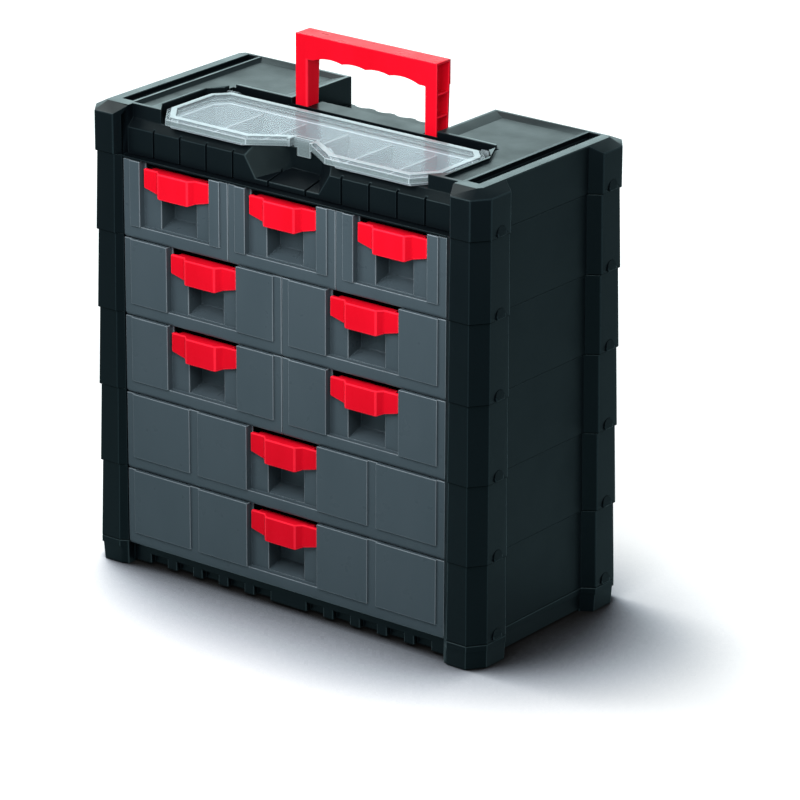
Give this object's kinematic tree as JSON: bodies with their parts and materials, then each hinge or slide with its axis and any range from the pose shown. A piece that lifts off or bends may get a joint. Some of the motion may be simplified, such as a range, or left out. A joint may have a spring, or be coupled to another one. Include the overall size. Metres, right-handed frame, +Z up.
{
  "type": "tool storage caddy",
  "caption": "Portable stacked-module drawer case with sliding drawers, clipped pulls, a lidded compartment tray on top and a folding carry handle.",
  "frame": {"origin": "centre of the footprint, on the floor under the feet", "axes": "+X to the right seen from the front, +Y to the rear, +Z up; drawers open towards -Y"},
  "size_m": [0.4036, 0.2, 0.4507],
  "materials": {
    "black_plastic": "near-black moulded polypropylene with a fine satin texture",
    "grey_plastic": "slate-grey moulded plastic, satin",
    "red_plastic": "bright red moulded plastic, satin gloss",
    "clear_plastic": "clear, slightly frosted plastic",
    "tray_plastic": "translucent milky plastic"
  },
  "bodies": {
    "cabinet": {"base_frame": "black_plastic", "tier_frame_1": "black_plastic", "tier_frame_2": "black_plastic", "tier_frame_3": "black_plastic", "tier_frame_4": "black_plastic", "tier_frame_5": "black_plastic", "partition_1_left": "black_plastic", "partition_1_right": "black_plastic", "partition_2": "black_plastic", "partition_3": "black_plastic", "top_housing": "black_plastic", "organizer_tray": "tray_plastic"},
    "drawer_1_left_body": {"drawer_1_left": "grey_plastic", "pull_1_left": "red_plastic"},
    "drawer_1_middle_body": {"drawer_1_middle": "grey_plastic", "pull_1_middle": "red_plastic"},
    "drawer_1_right_body": {"drawer_1_right": "grey_plastic", "pull_1_right": "red_plastic"},
    "drawer_2_left_body": {"drawer_2_left": "grey_plastic", "pull_2_left": "red_plastic"},
    "drawer_2_right_body": {"drawer_2_right": "grey_plastic", "pull_2_right": "red_plastic"},
    "drawer_3_left_body": {"drawer_3_left": "grey_plastic", "pull_3_left": "red_plastic"},
    "drawer_3_right_body": {"drawer_3_right": "grey_plastic", "pull_3_right": "red_plastic"},
    "drawer_4_body": {"drawer_4": "grey_plastic", "pull_4": "red_plastic"},
    "drawer_5_body": {"drawer_5": "grey_plastic", "pull_5": "red_plastic"},
    "handle": {"carry_handle": "red_plastic"},
    "lid_body": {"lid": "clear_plastic"},
    "latch_body": {"lid_latch": "clear_plastic"}
  },
  "joints": [
    {"name": "drawer_1_left_slide", "type": "slide", "parent": "cabinet", "child": "drawer_1_left_body", "axis": [0, -1, 0], "range_m": [0, 0.13]},
    {"name": "drawer_1_middle_slide", "type": "slide", "parent": "cabinet", "child": "drawer_1_middle_body", "axis": [0, -1, 0], "range_m": [0, 0.13]},
    {"name": "drawer_1_right_slide", "type": "slide", "parent": "cabinet", "child": "drawer_1_right_body", "axis": [0, -1, 0], "range_m": [0, 0.13]},
    {"name": "drawer_2_left_slide", "type": "slide", "parent": "cabinet", "child": "drawer_2_left_body", "axis": [0, -1, 0], "range_m": [0, 0.13]},
    {"name": "drawer_2_right_slide", "type": "slide", "parent": "cabinet", "child": "drawer_2_right_body", "axis": [0, -1, 0], "range_m": [0, 0.13]},
    {"name": "drawer_3_left_slide", "type": "slide", "parent": "cabinet", "child": "drawer_3_left_body", "axis": [0, -1, 0], "range_m": [0, 0.13]},
    {"name": "drawer_3_right_slide", "type": "slide", "parent": "cabinet", "child": "drawer_3_right_body", "axis": [0, -1, 0], "range_m": [0, 0.13]},
    {"name": "drawer_4_slide", "type": "slide", "parent": "cabinet", "child": "drawer_4_body", "axis": [0, -1, 0], "range_m": [0, 0.13]},
    {"name": "drawer_5_slide", "type": "slide", "parent": "cabinet", "child": "drawer_5_body", "axis": [0, -1, 0], "range_m": [0, 0.13]},
    {"name": "handle_hinge", "type": "hinge", "parent": "cabinet", "child": "handle", "pos_m": [0, 0.0197, 0.384], "axis": [-1, 0, 0], "range_deg": [0, 90]},
    {"name": "lid_hinge", "type": "hinge", "parent": "cabinet", "child": "lid_body", "pos_m": [0, 0.003, 0.3895], "axis": [-1, 0, 0], "range_deg": [0, 90]},
    {"name": "latch_hinge", "type": "hinge", "parent": "lid_body", "child": "latch_body", "pos_m": [0, -0.0646, 0.392], "axis": [-1, 0, 0], "range_deg": [0, 60]}
  ]
}
